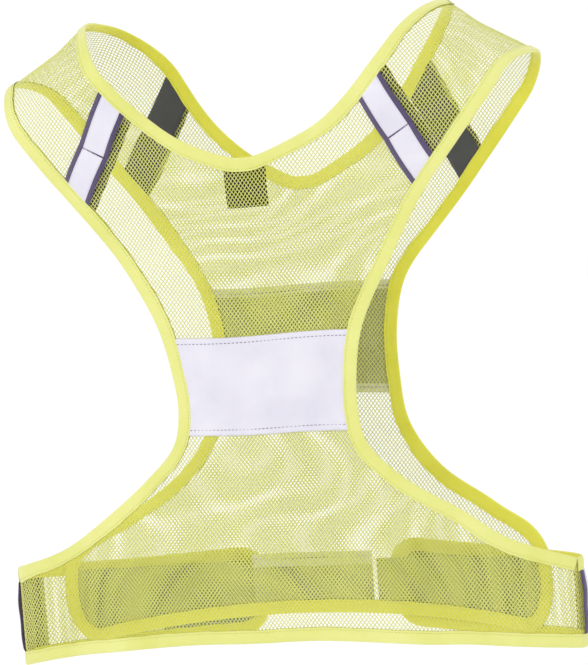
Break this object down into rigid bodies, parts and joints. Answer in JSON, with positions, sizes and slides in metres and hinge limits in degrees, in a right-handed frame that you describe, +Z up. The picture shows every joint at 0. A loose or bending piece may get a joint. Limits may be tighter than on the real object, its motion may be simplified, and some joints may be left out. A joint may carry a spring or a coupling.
{
  "type": "high-visibility running vest",
  "caption": "Mesh running vest with bound edges, reflective patches and shoulder tapes, closed at the waist by two hook-and-loop tabs.",
  "frame": {"origin": "midway between the two shoulder straps, at the height where they rest on the shoulders", "axes": "+Z up, +Y the way the wearer faces (the front, with the tabs), +X the wearer's right"},
  "size_m": [0.5284, 0.1654, 0.5655],
  "materials": {
    "mesh": "matte",
    "binding": "matte",
    "reflective": "satin",
    "webbing": "matte",
    "backing": "matte",
    "pad": "matte",
    "label": "matte"
  },
  "bodies": {
    "vest_body": {"back_mesh_panel": "mesh", "front_mesh_panel": "mesh", "neck_binding": "binding", "right_armhole_binding": "binding", "left_armhole_binding": "binding", "back_hem_binding": "binding", "front_hem_binding": "binding", "back_left_strap_webbing": "webbing", "back_left_strap_silver": "reflective", "back_left_strap_backing": "backing", "front_left_strap_webbing": "webbing", "front_left_strap_silver": "reflective", "front_left_strap_backing": "backing", "back_right_strap_webbing": "webbing", "back_right_strap_silver": "reflective", "back_right_strap_backing": "backing", "front_right_strap_webbing": "webbing", "front_right_strap_silver": "reflective", "front_right_strap_backing": "backing", "back_patch": "reflective", "chest_patch": "reflective", "waist_patch": "reflective", "neck_label": "label", "left_loop_pad": "pad", "right_loop_pad": "pad"},
    "left_tab": {"left_tab_binding": "binding", "left_tab_mesh": "mesh", "left_side_webbing": "webbing", "left_side_silver": "reflective", "left_hook_pad": "pad"},
    "right_tab": {"right_tab_binding": "binding", "right_tab_mesh": "mesh", "right_side_webbing": "webbing", "right_side_silver": "reflective", "right_hook_pad": "pad"}
  },
  "joints": [
    {"name": "left_tab_hinge", "type": "hinge", "parent": "vest_body", "child": "left_tab", "pos_m": [-0.26181, -0.00894, -0.501], "axis": [0, 0, 1], "range_deg": [0, 150]},
    {"name": "right_tab_hinge", "type": "hinge", "parent": "vest_body", "child": "right_tab", "pos_m": [0.26181, -0.00894, -0.501], "axis": [0, 0, -1], "range_deg": [0, 150]}
  ]
}
